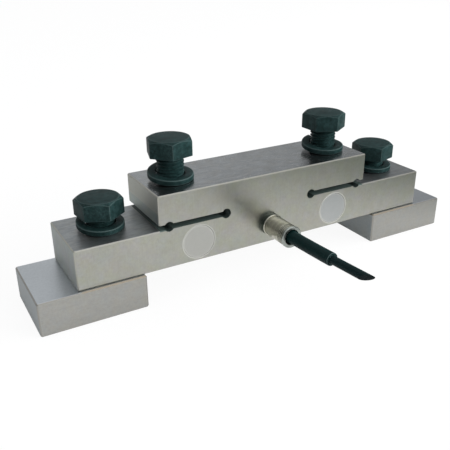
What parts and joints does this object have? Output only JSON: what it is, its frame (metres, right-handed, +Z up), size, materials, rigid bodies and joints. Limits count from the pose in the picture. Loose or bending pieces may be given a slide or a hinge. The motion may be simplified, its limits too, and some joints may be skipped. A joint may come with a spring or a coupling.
{
  "type": "double ended beam load cell",
  "caption": "Stepped steel beam load cell on spacer blocks, with slotted load arms, bolts with spring washers, flush gauge covers and a side cable gland.",
  "frame": {"origin": "on the ground, under the middle of the beam, at the middle of its length and width", "axes": "+X along the beam, -Y towards the cable gland, +Z up"},
  "size_m": [0.356, 0.1628, 0.111],
  "materials": {
    "beam_steel": "alloy steel, ground and nickel plated, satin",
    "block_steel": "ground and nickel plated steel, satin",
    "cover_steel": "nickel plated steel disc, satin",
    "plug_steel": "steel plug ground flush",
    "black_bolt": "black oxide over steel, oiled, semi-gloss",
    "black_washer": "black oxide over spring steel, semi-gloss",
    "gland_nickel": "nickel plated brass, turned, semi-gloss",
    "ring_nickel": "nickel plated brass, bright",
    "seal_rubber": "black nitrile rubber, matt",
    "sleeve_plastic": "black heat shrink sleeve, satin",
    "cable_jacket": "black cable jacket, satin",
    "gauge_film": "amber polyimide film with metal foil",
    "board_laminate": "green glass laminate",
    "resistor_body": "chip resistor, glazed",
    "lead_jacket": "grey lead bundle",
    "red_insulation": "red wire insulation",
    "black_insulation": "black wire insulation",
    "green_insulation": "green wire insulation",
    "white_insulation": "white wire insulation"
  },
  "bodies": {
    "root": {"beam_body": "beam_steel", "channel_plug": "plug_steel", "left_spacer_block": "block_steel", "left_end_bolt": "black_bolt", "left_end_washer": "black_washer", "left_load_bolt": "black_bolt", "left_load_washer": "black_washer", "left_front_cover": "cover_steel", "left_front_gauge": "gauge_film", "left_rear_cover": "cover_steel", "left_rear_gauge": "gauge_film", "left_jumper": "red_insulation", "left_leads": "lead_jacket", "right_spacer_block": "block_steel", "right_end_bolt": "black_bolt", "right_end_washer": "black_washer", "right_load_bolt": "black_bolt", "right_load_washer": "black_washer", "right_front_cover": "cover_steel", "right_front_gauge": "gauge_film", "right_rear_cover": "cover_steel", "right_rear_gauge": "gauge_film", "right_jumper": "red_insulation", "right_leads": "lead_jacket", "bridge_board": "board_laminate", "zero_resistor": "resistor_body", "span_resistor": "resistor_body", "supply_core": "red_insulation", "ground_core": "black_insulation", "signal_core": "green_insulation", "return_core": "white_insulation", "gland_body": "gland_nickel", "gland_clamp_ring": "ring_nickel", "gland_seal": "seal_rubber", "gland_o_ring": "seal_rubber", "cable_sleeve": "sleeve_plastic", "cable": "cable_jacket"}
  },
  "joints": []
}
